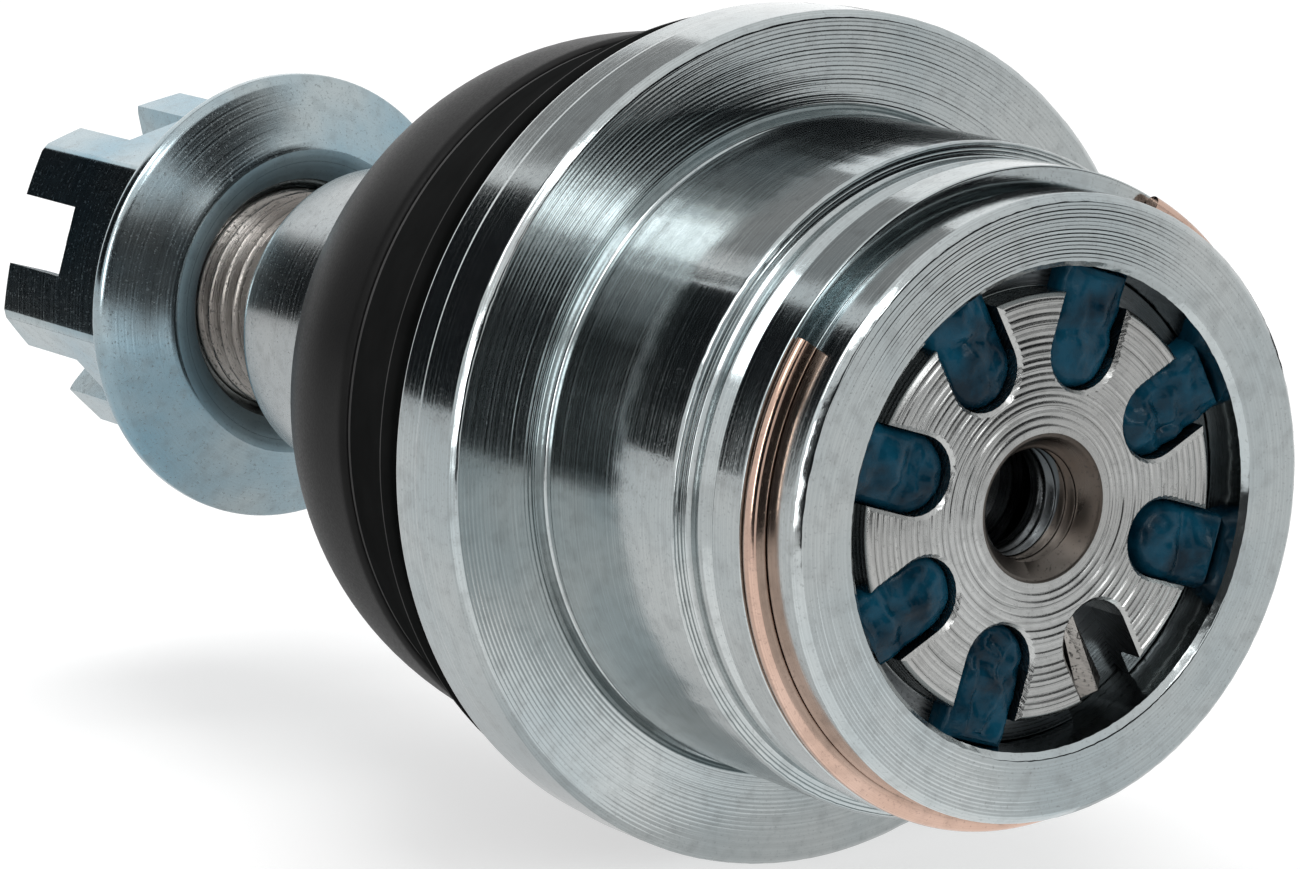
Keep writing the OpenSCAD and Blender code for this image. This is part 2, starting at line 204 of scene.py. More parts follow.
# %% The lathe tree
def build_lathe():
    tree = bpy.data.node_groups.new("lathe", "GeometryNodeTree")
    named_input(tree, "Outline", "NodeSocketGeometry")
    named_input(tree, "Segments", "NodeSocketInt", 192)
    named_input(tree, "Thread radius", "NodeSocketFloat", 0.008)
    named_input(tree, "Thread pitch", "NodeSocketFloat", 0.0015)
    named_input(tree, "Thread depth", "NodeSocketFloat", 0.0)
    named_input(tree, "Thread from", "NodeSocketFloat", 0.0)
    named_input(tree, "Thread to", "NodeSocketFloat", 0.0)
    named_input(tree, "Finish", "NodeSocketMaterial")
    tree.interface.new_socket("Turned piece", in_out="OUTPUT", socket_type="NodeSocketGeometry")
    given = tree.nodes.new("NodeGroupInput").outputs
    size = add_node(tree, "GeometryNodeAttributeDomainSize", {"Geometry": given["Outline"]})
    rows = size.outputs["Point Count"]
    columns = calc(tree, "ADD", given["Segments"], 1)
    grid = add_node(tree, "GeometryNodeMeshGrid", {"Vertices X": columns, "Vertices Y": rows})
    index = tree.nodes.new("GeometryNodeInputIndex").outputs[0]
    column = calc(tree, "FLOOR", calc(tree, "DIVIDE", calc(tree, "ADD", index, 0.5), rows))
    row = calc(tree, "SUBTRACT", index, calc(tree, "MULTIPLY", column, rows))
    share = calc(tree, "DIVIDE", column, given["Segments"])
    angle = calc(tree, "MULTIPLY", share, TURN)
    place = tree.nodes.new("GeometryNodeInputPosition").outputs[0]
    sample = add_node(tree, "GeometryNodeSampleIndex", data_type="FLOAT_VECTOR")
    tree.links.new(given["Outline"], sample.inputs["Geometry"])
    tree.links.new(place, sample.inputs["Value"])
    tree.links.new(row, sample.inputs["Index"])
    split = add_node(tree, "ShaderNodeSeparateXYZ", {0: sample.outputs["Value"]})
    radius, length = split.outputs["X"], split.outputs["Y"]
    pitch = given["Thread pitch"]
    phase = calc(tree, "FRACT", calc(tree, "SUBTRACT", calc(tree, "DIVIDE", length, pitch), share))
    wave = calc(tree, "COSINE", calc(tree, "MULTIPLY", phase, TURN))
    groove = calc(tree, "MULTIPLY_ADD", wave, -0.5, 0.5)
    run_in = calc(tree, "DIVIDE", calc(tree, "SUBTRACT", length, given["Thread from"]), pitch)
    run_out = calc(tree, "DIVIDE", calc(tree, "SUBTRACT", given["Thread to"], length), pitch)
    ends = calc(tree, "MINIMUM", run_in, run_out)
    ends = calc(tree, "MINIMUM", calc(tree, "MAXIMUM", ends, 0.0), 1.0)
    away = calc(tree, "ABSOLUTE", calc(tree, "SUBTRACT", radius, given["Thread radius"]))
    near = calc(tree, "LESS_THAN", away, 0.0003)
    cut = calc(tree, "MULTIPLY", calc(tree, "MULTIPLY", groove, ends), near)
    cut = calc(tree, "MULTIPLY", cut, given["Thread depth"])
    reach = calc(tree, "ADD", radius, cut)
    x = calc(tree, "MULTIPLY", reach, calc(tree, "COSINE", angle))
    z = calc(tree, "MULTIPLY", reach, calc(tree, "SINE", angle))
    target = add_node(tree, "ShaderNodeCombineXYZ", {"X": x, "Y": length, "Z": z}).outputs[0]
    moved = add_node(tree, "GeometryNodeSetPosition",
                     {"Geometry": grid.outputs["Mesh"], "Position": target})
    closed = add_node(tree, "GeometryNodeMergeByDistance",
                      {"Geometry": moved.outputs[0], "Distance": 1e-6})
    real = add_node(tree, "GeometryNodeRealizeInstances", {"Geometry": closed.outputs[0]})
    finish = add_node(tree, "GeometryNodeSetMaterial",
                      {"Geometry": real.outputs[0], "Material": given["Finish"]})
    add_node(tree, "NodeGroupOutput", {0: finish.outputs[0]})
    return tree


LATHE = build_lathe()
print("lathe tree:", len(LATHE.nodes), "nodes")

# %% [markdown]
# A node tree lives on a modifier. The helper below hands the named inputs over by their
# identifiers, lets Blender work the tree out, and keeps only the plain mesh. It then turns
# the faces outwards and marks sharp edges, so that flat faces stay flat and rounds stay soft.


# %% From a node tree to a plain mesh
def outward(mesh):
    """Turns the faces of a closed mesh outwards."""
    shell = bmesh.new()
    shell.from_mesh(mesh)
    bmesh.ops.remove_doubles(shell, verts=shell.verts, dist=1e-7)
    bmesh.ops.recalc_face_normals(shell, faces=shell.faces)
    if shell.calc_volume(signed=True) < 0:
        bmesh.ops.reverse_faces(shell, faces=shell.faces)
    shell.to_mesh(mesh)
    shell.free()


def smooth(mesh, sharp_from=32):
    mesh.polygons.foreach_set("use_smooth", [True] * len(mesh.polygons))
    mesh.set_sharp_from_angle(angle=math.radians(sharp_from))


def new_object(name, mesh):
    piece = bpy.data.objects.new(name, mesh)
    bpy.context.scene.collection.objects.link(piece)
    return piece


def settle(piece):
    """The evaluated mesh, with every modifier worked in and removed."""
    depsgraph = bpy.context.evaluated_depsgraph_get()
    depsgraph.update()
    done = bpy.data.meshes.new_from_object(piece.evaluated_get(depsgraph), depsgraph=depsgraph)
    piece.modifiers.clear()
    piece.data = done
    return piece


def grown(name, mesh, tree, finish, **inputs):
    """Runs a node tree on a mesh. Input names use _ for a space."""
    piece = new_object(name, mesh)
    modifier = piece.modifiers.new("nodes", "NODES")
    modifier.node_group = tree
    wanted = {key.replace("_", " ").lower(): value for key, value in inputs.items()}
    wanted["finish"] = finish
    for socket in tree.interface.items_tree:
        if socket.in_out == "INPUT" and socket.name.lower() in wanted:
            modifier[socket.identifier] = wanted[socket.name.lower()]
    settle(piece)
    piece.data.materials.clear()
    piece.data.materials.append(finish)
    piece.data.polygons.foreach_set("material_index", [0] * len(piece.data.polygons))
    outward(piece.data)
    smooth(piece.data)
    return piece


# %% One call that turns a whole piece


def turned(name, outline, finish, segments=192, seed=1, **thread):
    """A turned piece along Y from an outline of (radius, y, round, finish) in mm."""
    points = turning_lines(rounded(outline), seed)
    piece = grown(name, outline_mesh(name, points), LATHE, finish, segments=segments, **thread)
    print(f"{name}: {len(points)} rows, {len(piece.data.polygons)} faces")
    return piece


# %% Nicks on edges, and the hand-over to the frame


def nicked(piece, corners, reach, depth):
    """Small nicks along turned corners, given as (radius, y) in mm."""
    for vertex in piece.data.vertices:
        r = math.hypot(vertex.co.x, vertex.co.z) / MM
        y = vertex.co.y / MM
        if any(abs(r - cr) < reach and abs(y - cy) < reach for cr, cy in corners):
            around = Vector((vertex.co.x, vertex.co.z, 0)) / MM
            dent = noise.noise(around * 2.6 + Vector((0, 0, y * 0.7)))
            scale = 1 - max(dent, -0.3) * depth / r
            vertex.co = Vector((vertex.co.x * scale, vertex.co.y + abs(dent) * depth * MM * 0.5,
                                vertex.co.z * scale))


def report(piece, body, slot, *nodes):
    """Hands a finished piece to the frame."""
    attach(piece, body)
    if nodes:
        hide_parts(*nodes)
    print(f"{piece.name} rides on {body}, {len(piece.data.polygons)} faces")


# %% [markdown]
# ## Finishes
#
# Every metal here starts as the same idea: a metallic shader whose roughness and height
# change with fine lines that run round the turning axis. The lines come from one number,
# the distance from the axis plus the length along it, so they make rings on a face and
# hoops on a barrel. Small specks of the plating and broad stains sit on top, and the valleys
# between the lines are a little darker. Patterns read object coordinates, and a mapping turns
# them onto the leaning stud where needed.

# %% Tools for finishes
def blank_finish(name):
    material = bpy.data.materials.new(name)
    material.use_nodes = True
    tree = material.node_tree
    shader = tree.nodes["Principled BSDF"]
    return material, tree, shader


def axis_place(tree, leaning):
    """Object coordinates, turned back upright for pieces on the leaning stud."""
    place = tree.nodes.new("ShaderNodeTexCoord").outputs["Object"]
    if not leaning:
        return place
    turn = TO_STUD.inverted().to_euler()
    mapping = add_node(tree, "ShaderNodeMapping", {"Vector": place, "Rotation": turn})
    return mapping.outputs[0]


def cloud(tree, place, scale, detail=3.0, dimensions="3D"):
    """A noise from 0 to 1. scale is in cells per metre."""
    key = "W" if dimensions == "1D" else "Vector"
    node = add_node(tree, "ShaderNodeTexNoise", {key: place, "Scale": scale, "Detail": detail},
                    noise_dimensions=dimensions)
    return node.outputs["Fac"]


def spread(tree, value, low_in, high_in, low_out, high_out):
    node = add_node(tree, "ShaderNodeMapRange", {"Value": value, "From Min": low_in,
                    "From Max": high_in, "To Min": low_out, "To Max": high_out})
    return node.outputs[0]


def blend_colour(tree, share, a, b):
    node = add_node(tree, "ShaderNodeMix", data_type="RGBA")
    for socket, value in (("Factor_Float", share), ("A_Color", a), ("B_Color", b)):
        target = next(s for s in node.inputs if s.identifier == socket)
        if isinstance(value, bpy.types.NodeSocket):
            tree.links.new(value, target)
        else:
            target.default_value = value if not isinstance(value, tuple) else (*value, 1)[:4]
    return next(s for s in node.outputs if s.identifier == "Result_Color")


def bumped(tree, shader, height, strength, distance):
    bump = add_node(tree, "ShaderNodeBump", {"Height": height, "Strength": strength,
                    "Distance": distance})
    tree.links.new(bump.outputs[0], shader.inputs["Normal"])


# %% Turned and plated metal
def turned_metal(name, colour, stain, rough=(0.10, 0.20), lines=5200, grain=0.12, leaning=False,
                 specks=0.35, streaks=0.2):
    material, tree, shader = blank_finish(name)
    place = axis_place(tree, leaning)
    split = add_node(tree, "ShaderNodeSeparateXYZ", {0: place})
    squares = calc(tree, "MULTIPLY", split.outputs["X"], split.outputs["X"])
    squares = calc(tree, "MULTIPLY_ADD", split.outputs["Z"], split.outputs["Z"], squares)
    ring = calc(tree, "ADD", calc(tree, "SQRT", squares), split.outputs["Y"])
    hoops = cloud(tree, ring, lines, 4.0, "1D")
    speck = cloud(tree, place, 5200, 2.0)
    pits = spread(tree, speck, 0.60, 0.70, 0.0, 1.0)
    fine = cloud(tree, place, 2400, 2.0)
    patch = cloud(tree, place, 90, 4.0)
    tint = blend_colour(tree, spread(tree, patch, 0.35, 0.7, 0.0, 1.0), colour, stain)
    dark = tuple(c * 0.45 for c in colour)
    lined = calc(tree, "MULTIPLY", spread(tree, hoops, 0.42, 0.62, 1.0, 0.0), streaks)
    tint = blend_colour(tree, lined, tint, dark)
    tint = blend_colour(tree, calc(tree, "MULTIPLY", pits, specks), tint, dark)
    mottle = cloud(tree, place, 850, 6.0)
    tint = blend_colour(tree, spread(tree, mottle, 0.50, 0.70, 0.0, 0.30), tint, dark)
    tree.links.new(tint, shader.inputs["Base Color"])
    gloss = spread(tree, hoops, 0.3, 0.7, rough[0], rough[1])
    gloss = calc(tree, "MULTIPLY_ADD", pits, 0.25 * specks, gloss)
    tree.links.new(gloss, shader.inputs["Roughness"])
    height = calc(tree, "MULTIPLY_ADD", hoops, 0.6, calc(tree, "MULTIPLY", fine, 0.9))
    height = calc(tree, "MULTIPLY_ADD", pits, -1.2 * specks, height)
    height = calc(tree, "MULTIPLY_ADD", mottle, 1.6, height)
    bumped(tree, shader, height, grain, 0.00002)
    shader.inputs["Metallic"].default_value = 1.0
    return material


ZINC = (0.50, 0.53, 0.53)
zinc_turned = turned_metal("zinc_turned", ZINC, (0.40, 0.455, 0.47), rough=(0.08, 0.17))
zinc_cap = turned_metal("zinc_cap", (0.455, 0.465, 0.46), (0.375, 0.375, 0.365), rough=(0.16, 0.3))
zinc_nut = turned_metal("zinc_nut", (0.425, 0.485, 0.50), (0.215, 0.365, 0.45), rough=(0.12, 0.24),
                        leaning=True, specks=0.5, grain=0.07, streaks=0.1)
zinc_seat = turned_metal("zinc_seat", (0.30, 0.40, 0.44), (0.17, 0.29, 0.36), rough=(0.26, 0.42),
                         leaning=True, specks=0.5, streaks=0.15)
zinc_seat.node_tree.nodes["Principled BSDF"].inputs["Metallic"].default_value = 0.45
stud_steel = turned_metal("stud_steel", (0.45, 0.47, 0.47), (0.39, 0.42, 0.43), leaning=True,
                          rough=(0.14, 0.26), streaks=0.12)
worn_thread = turned_metal("worn_thread", (0.38, 0.365, 0.345), (0.09, 0.075, 0.065), leaning=True,
                           rough=(0.20, 0.40), grain=0.9, specks=1.3)
copper_plate = turned_metal("copper_plate", (0.63, 0.45, 0.37), (0.50, 0.33, 0.25),
                            rough=(0.09, 0.18), specks=0.4)
race_steel = turned_metal("race_steel", (0.55, 0.56, 0.57), (0.50, 0.51, 0.52))
spring_steel = turned_metal("spring_steel", (0.22, 0.23, 0.25), (0.16, 0.15, 0.15))
# Rust brown with painted shade: the port's countersink and mouth are coloured far darker than the
# cap, for the shade inside the hole.
port_rust_and_shade = turned_metal("port_rust_and_shade", (0.115, 0.105, 0.095), (0.06, 0.044, 0.034),
                          rough=(0.2, 0.45), specks=0.8)
# Painted shade: a very dark steel for the cap's slot floors, the step beyond its face and the deep
# end of its port, which lie in shade. The hidden pressure plate uses it too.
deep_shade_steel = turned_metal("deep_shade_steel", (0.15, 0.16, 0.165), (0.02, 0.03, 0.035),
                          rough=(0.2, 0.4), specks=0.8)


# %% Rubber, black band and compound
def moulded_rubber(name, colour, dusty):
    material, tree, shader = blank_finish(name)
    place = axis_place(tree, False)
    soft = cloud(tree, place, 130, 4.0)
    tint = blend_colour(tree, spread(tree, soft, 0.35, 0.7, 0.0, 1.0), colour, dusty)
    tree.links.new(tint, shader.inputs["Base Color"])
    fine = cloud(tree, place, 6000, 3.0)
    tree.links.new(spread(tree, fine, 0.3, 0.7, 0.34, 0.46), shader.inputs["Roughness"])
    bumped(tree, shader, fine, 0.25, 0.00003)
    shader.inputs["Specular IOR Level"].default_value = 0.08
    return material


def black_coat(name, low=(0.009, 0.0095, 0.0095), high=(0.018, 0.0185, 0.0185)):
    material, tree, shader = blank_finish(name)
    place = axis_place(tree, False)
    soft = cloud(tree, place, 300, 4.0)
    tint = blend_colour(tree, soft, low, high)
    tree.links.new(tint, shader.inputs["Base Color"])
    fine = cloud(tree, place, 3500, 3.0)
    tree.links.new(spread(tree, fine, 0.3, 0.7, 0.24, 0.38), shader.inputs["Roughness"])
    bumped(tree, shader, fine, 0.2, 0.00003)
    shader.inputs["Specular IOR Level"].default_value = 0.0
    return material


def hard_compound(name):
    material, tree, shader = blank_finish(name)
    place = axis_place(tree, False)
    depth = cloud(tree, place, 420, 3.0)
    tint = blend_colour(tree, spread(tree, depth, 0.35, 0.68, 0.0, 1.0),
                        (0.0006, 0.014, 0.027), (0.004, 0.062, 0.108))
    tree.links.new(tint, shader.inputs["Base Color"])
    fine = cloud(tree, place, 2600, 3.0)
    tree.links.new(spread(tree, fine, 0.35, 0.7, 0.14, 0.34), shader.inputs["Roughness"])
    bumped(tree, shader, fine, 0.5, 0.00008)
    shader.inputs["Specular IOR Level"].default_value = 0.12
    shader.inputs["Coat Weight"].default_value = 0.05
    shader.inputs["Coat Roughness"].default_value = 0.12
    return material


boot_rubber = moulded_rubber("boot_rubber", (0.009, 0.009, 0.0092), (0.015, 0.015, 0.015))
seal_rubber = moulded_rubber("seal_rubber", (0.018, 0.018, 0.018), (0.03, 0.03, 0.03))
black_band = black_coat("black_band")
# Painted highlight: a lighter grey on the clamp's rounded edges stands in for the light they
# catch.
clamp_edge_highlight = black_coat("clamp_edge_highlight", (0.05, 0.05, 0.05), (0.12, 0.12, 0.12))
blue_compound = hard_compound("blue_compound")
print("finishes:", len(bpy.data.materials))

# %% [markdown]
# ## The housing
#
# One closed outline runs from the open end over the nose, the ring groove, a plain land, a
# rounded bead, the barrel, the relief, the flange and the neck, then back through the mouth
# and the bore. The end face, the barrel's front shoulder and the flange carry real turning
# lines. The construction model has two plain beads and a lead-in where this outline has one
# bead and a barrel that keeps its full radius up to a sharp shoulder.

# %% The housing
FACE_CUT = (0.23, 0.024)
flange_t = 6.8
housing_outline = [
    (BORE_R, END_Y + 0.4, 0, None),
    (BORE_R + 0.4, END_Y, 0.1, FACE_CUT),
    (NOSE_R - 0.45, END_Y, 0.12, None),
    (NOSE_R, END_Y + 0.45, 0.12, None),
    (NOSE_R, -21.55, 0.08, None),
    (18.7, -21.55, 0.05, None),
    (18.7, -20.3, 0.05, None),
    (HEAD_R, -20.3, 0.12, None),
    (HEAD_R, -17.5, 0.12, None),
    (19.9, -17.5, 0.12, None),
    (19.9, -16.9, 0.12, None),
    (20.05, -16.6, 0.15, None),
    (20.5, -15.9, 0.5, None),
    (20.25, -15.35, 0.3, None),
    (20.2, -14.9, 0.3, None),
    (20.4, -14.5, 0.08, (0.22, 0.05)),
    (BARREL_R - 0.12, -14.42, 0.05, None),
    (BARREL_R, -14.25, 0.1, None),
    (BARREL_R, -1.1, 0.25, None),
    (BARREL_R - 0.6, -0.7, 0.4, None),
    (BARREL_R - 0.6, 0.15, 0.35, None),
    (BARREL_R + 0.2, 0.15, 0.2, None),
    (BARREL_R + 0.45, 0, 0.15, (0.27, 0.016)),
    (FLANGE_R - 0.4, 0, 0.12, None),
    (FLANGE_R, 0.4, 0.12, None),
    (FLANGE_R, 4.1, 0.12, None),
    (FLANGE_R - 0.12, 4.3, 0.1, None),
    (FLANGE_R - 0.17, flange_t, 0.3, None),
    (NECK_R, flange_t, 0.2, None),
    (NECK_R, 11.0, 0, None),
    (NECK_R - 1.2, 11.0, 0.2, None),
    (NECK_R - 1.2, 15.5, 0.2, None),
    (NECK_R, 15.5, 0, None),
    (NECK_R, NECK_END, 0.4, None),
    (19.1, NECK_END, 0.2, None),
    (13.0, 6.17, 0.1, None),
    (BORE_R, 6.17, 0.1, None),
    (BORE_R, END_Y + 0.4, 0, None),
]
housing = turned("housing_shell", housing_outline, zinc_turned, segments=288)
nicked(housing, [(NOSE_R - 0.2, END_Y + 0.2), (BORE_R + 0.2, END_Y + 0.2),
                 (FLANGE_R - 0.2, 0.2), (BARREL_R, -14.35)], 0.3, 0.05)
report(housing, "housing", "zinc_plate", "housing")

# %% [markdown]
# ## The end cap
#
# The cap is turned with coarse ridges, threaded in its port, and then milled with eight
# slots that run out through its rim. The slots are cut with one boolean, whose cutter has a
# small chamfer at the top, because the milled edges are broken on the real cap.


# %% A stadium shaped cutter for one slot
def slot_loop(half_w, inner_r, outer_r, steps=14):
    """Points round a slot: a half circle at its inner end, then straight out."""
    centre = inner_r + half_w
    loop = [(outer_r, -half_w)]
    for k in range(steps + 1):
        a = -math.pi / 2 - math.pi * k / steps
        loop.append((centre + half_w * math.cos(a), half_w * math.sin(a)))
    loop.append((outer_r, half_w))
    return loop


def at_angle(x, z, y, turn):
    """A place on the cap: x outwards and z across, turned about the axis, in metres."""
    return Vector((x * math.cos(turn) - z * math.sin(turn), y,
                   x * math.sin(turn) + z * math.cos(turn))) * MM


def slot_turn(i):
    return OPEN_SLOT + i * TURN / SLOT_COUNT


def slot_cutters():
    """All slot cutters as one mesh: narrow below, wider where the edge is broken."""
    shell = bmesh.new()
    broken = 0.28
    levels = [(3.4, 0.0), (broken, 0.0), (-0.1, broken + 0.1)]
    for i in range(SLOT_COUNT):
        rings = []
        for depth, wider in levels:
            loop = slot_loop(SLOT_W / 2 + wider, SLOT_INNER_R - wider, BORE_R + 3)
            rings.append([shell.verts.new(at_angle(x, z, CAP_FACE_Y + depth, slot_turn(i)))
                          for x, z in loop])
        for lower, upper in zip(rings, rings[1:]):
            for k in range(len(lower)):
                after = (k + 1) % len(lower)
                shell.faces.new((lower[k], lower[after], upper[after], upper[k]))
        shell.faces.new(rings[0])
        shell.faces.new(rings[-1])
    bmesh.ops.recalc_face_normals(shell, faces=shell.faces)
    mesh = bpy.data.meshes.new("slot_cutters")
    shell.to_mesh(mesh)
    shell.free()
    return new_object("slot_cutters", mesh)


def carve(piece, cutter, operation="DIFFERENCE"):
    """One exact boolean, worked in at once. The cutter is deleted."""
    modifier = piece.modifiers.new("cut", "BOOLEAN")
    modifier.operation = operation
    modifier.solver = "EXACT"
    modifier.object = cutter
    settle(piece)
    bpy.data.objects.remove(cutter)
    return piece


# %% The end cap
cap_inner_y = CAP_FACE_Y + 5.6
thread_rows = [(PORT_R, CAP_FACE_Y + 1.04 + k * 0.05, 0, None) for k in range(90, 0, -1)]
cap_outline = [
    (PORT_R, cap_inner_y, 0, None),
    *thread_rows,
    (PORT_R, CAP_FACE_Y + 1.04, 0, None),
    (PORT_R + 1.04, CAP_FACE_Y, 0.15, None),
    (PORT_R + 1.5, CAP_FACE_Y, 0.1, (0.44, 0.13)),
    (CAP_FACE_R - 0.35, CAP_FACE_Y, 0.15, None),
    (CAP_FACE_R, CAP_FACE_Y + 0.35, 0.15, (0.35, 0.03)),
    (CAP_FACE_R, CAP_FACE_Y + 2.2, 0.15, None),
    (BORE_R - 0.05, CAP_FACE_Y + 2.2, 0.1, None),
    (BORE_R - 0.05, cap_inner_y - 1.2, 0, None),
    (BORE_R - 1.25, cap_inner_y - 1.2, 0, None),
    (BORE_R - 1.25, cap_inner_y, 0, None),
    (PORT_R, cap_inner_y, 0, None),
]
cap = turned("end_cap_slotted", cap_outline, zinc_cap, seed=7, thread_radius=PORT_R * MM,
             thread_pitch=1.0 * MM, thread_depth=0.5 * MM, thread_from=(CAP_FACE_Y + 0.2) * MM,
             thread_to=(cap_inner_y - 0.3) * MM)
carve(cap, slot_cutters())
cap.data.materials.clear()
cap.data.materials.append(zinc_cap)
cap.data.materials.append(port_rust_and_shade)
cap.data.materials.append(deep_shade_steel)
# The port's countersink and mouth take rust with painted shade. The slot floors, the step beyond
# the cap face and everything deeper than 3 mm take the painted shade steel.
for face in cap.data.polygons:
    reach = math.hypot(face.center.x, face.center.z) / MM
    sunk = face.center.y / MM - CAP_FACE_Y
    face.material_index = 0
    if reach < PORT_R + 1.2:
        face.material_index = 1 if sunk < 3.0 else 2
    elif sunk > 3.0 or reach > CAP_FACE_R + 0.1:
        face.material_index = 2
outward(cap.data)
smooth(cap.data)
report(cap, "housing", "zinc_plate", "end_cap")

# %% [markdown]
# ## The locking compound
#
# A hard blue compound fills seven of the eight slots. Each plug is a domed lump with a fold
# across it. A plug is built as rings that climb from the slot's outline to its middle line,
# and a smooth noise makes no two alike.


# %% Seven plugs of compound
def compound_plug(shell, i, dice):
    half_w = SLOT_W / 2 - 0.03
    outer = BORE_R - 0.06
    drawn_back = 1.3 if i == 1 else 0.0
    torn = 2.4 if i in (2, 7) else 1.0
    inner_mid = SLOT_INNER_R + half_w + drawn_back
    straight = 14
    loop = slot_loop(half_w, SLOT_INNER_R + 0.03 + drawn_back, outer, steps=20)
    edge = [(outer + (inner_mid - outer) * k / straight, -half_w) for k in range(straight)]
    loop = edge + loop[1:-1] + [(x, -z) for x, z in reversed(edge)]
    fold_at = dice.uniform(9.6, 12.2) + drawn_back
    fold_lean = dice.uniform(-0.5, 0.5)
    sunk = dice.uniform(0.15, 0.35)
    shift = Vector((dice.uniform(0, 50), dice.uniform(0, 50), i * 7.0))
    base = [shell.verts.new(at_angle(x, z, CAP_FACE_Y + 3.36, slot_turn(i))) for x, z in loop]
    rings, steps = [base], 9
    for k in range(steps + 1):
        t = k / steps
        ring = []
        for x, z in loop:
            px = x + (min(max(x, inner_mid), outer - 0.8) - x) * t
            pz = z * (1 - t)
            dome = math.sqrt(1 - (1 - t) ** 2)
            fold = math.exp(-((px + fold_lean * pz - fold_at) / 0.45) ** 2)
            lump = noise.noise(Vector((px, pz, 0)) * 0.9 + shift)
            thread = noise.noise(Vector((px * 0.5, pz * 3.2, 5)) + shift)
            depth = sunk + 1.0 * (1 - dome) + 0.45 * fold * dome
            depth += (0.30 * lump + 0.14 * thread) * torn * dome
            ring.append(shell.verts.new(at_angle(px, pz, CAP_FACE_Y + depth, slot_turn(i))))
        rings.append(ring)
    for lower, upper in zip(rings, rings[1:]):
        for k in range(len(lower)):
            after = (k + 1) % len(lower)
            shell.faces.new((lower[k], lower[after], upper[after], upper[k]))
    shell.faces.new(base)


plugs = bmesh.new()
plug_dice = random.Random(12)
for slot_number in range(1, SLOT_COUNT):
    compound_plug(plugs, slot_number, plug_dice)
bmesh.ops.remove_doubles(plugs, verts=plugs.verts, dist=2e-6)
bmesh.ops.recalc_face_normals(plugs, faces=plugs.faces)
plug_mesh = bpy.data.meshes.new("compound_plugs")
plugs.to_mesh(plug_mesh)
plugs.free()
plug_mesh.materials.append(blue_compound)
smooth(plug_mesh, 60)
compound = new_object("compound_plugs", plug_mesh)
report(compound, "housing", "blue_compound", "lock_compound")

# %% [markdown]
# The open slot shows a bright scrap of metal on its dark floor: a tongue with two flats
# that meet in a ridge. It is a short prism with a roof, laid along the slot.

# %% The tongue in the open slot
def slot_tongue():
    shell = bmesh.new()
    floor_y = CAP_FACE_Y + 3.38
    section = ((-2.0, 0.0), (-1.9, 1.75), (-0.7, 2.3), (0.4, 1.3), (0.6, 0.0))
    ends = []
    for x, pinch in ((SLOT_INNER_R + 0.7, 0.5), (BORE_R - 1.5, 1.0)):
        ends.append([shell.verts.new(at_angle(x, z * pinch, floor_y - up, OPEN_SLOT))
                     for z, up in section])
    for k in range(len(section)):
        after = (k + 1) % len(section)
        shell.faces.new((ends[0][k], ends[0][after], ends[1][after], ends[1][k]))
    shell.faces.new(ends[0])
    shell.faces.new(ends[1])
    bmesh.ops.recalc_face_normals(shell, faces=shell.faces)
    mesh = bpy.data.meshes.new("slot_tongue")
    shell.to_mesh(mesh)
    shell.free()
    mesh.materials.append(worn_thread)
    return new_object("slot_tongue", mesh)


report(slot_tongue(), "housing", "zinc_plate")

# %% [markdown]
# ## The snap ring
#
# The ring is a bar of rounded wire that follows an arc, which is exactly what a curve tree
# does: an arc of the right sweep, a small rounded section, and Curve to Mesh between them.


# %% The wire tree and the snap ring
def build_wire():
    tree = bpy.data.node_groups.new("wire_on_arc", "GeometryNodeTree")
    named_input(tree, "Base", "NodeSocketGeometry")
    named_input(tree, "Arc radius", "NodeSocketFloat", 0.02)
    named_input(tree, "Start angle", "NodeSocketFloat", 0.0)
    named_input(tree, "Sweep", "NodeSocketFloat", 4.8)
    named_input(tree, "Height", "NodeSocketFloat", 0.002)
    named_input(tree, "Width", "NodeSocketFloat", 0.001)
    named_input(tree, "Round", "NodeSocketFloat", 0.0004)
    named_input(tree, "Finish", "NodeSocketMaterial")
    tree.interface.new_socket("Ring", in_out="OUTPUT", socket_type="NodeSocketGeometry")
    given = tree.nodes.new("NodeGroupInput").outputs
    arc = add_node(tree, "GeometryNodeCurveArc",
                   {"Resolution": 220, "Radius": given["Arc radius"],
                    "Start Angle": given["Start angle"], "Sweep Angle": given["Sweep"]})
    section = add_node(tree, "GeometryNodeCurvePrimitiveQuadrilateral",
                       {"Width": given["Height"], "Height": given["Width"]})
    soft = add_node(tree, "GeometryNodeFilletCurve",
                    {"Curve": section.outputs[0], "Radius": given["Round"], "Count": 5},
                    mode="POLY")
    bar = add_node(tree, "GeometryNodeCurveToMesh",
                   {"Curve": arc.outputs[0], "Profile Curve": soft.outputs[0], "Fill Caps": True})
    real = add_node(tree, "GeometryNodeRealizeInstances", {"Geometry": bar.outputs[0]})
    finish = add_node(tree, "GeometryNodeSetMaterial",
                      {"Geometry": real.outputs[0], "Material": given["Finish"]})
    add_node(tree, "NodeGroupOutput", {0: finish.outputs[0]})
    return tree


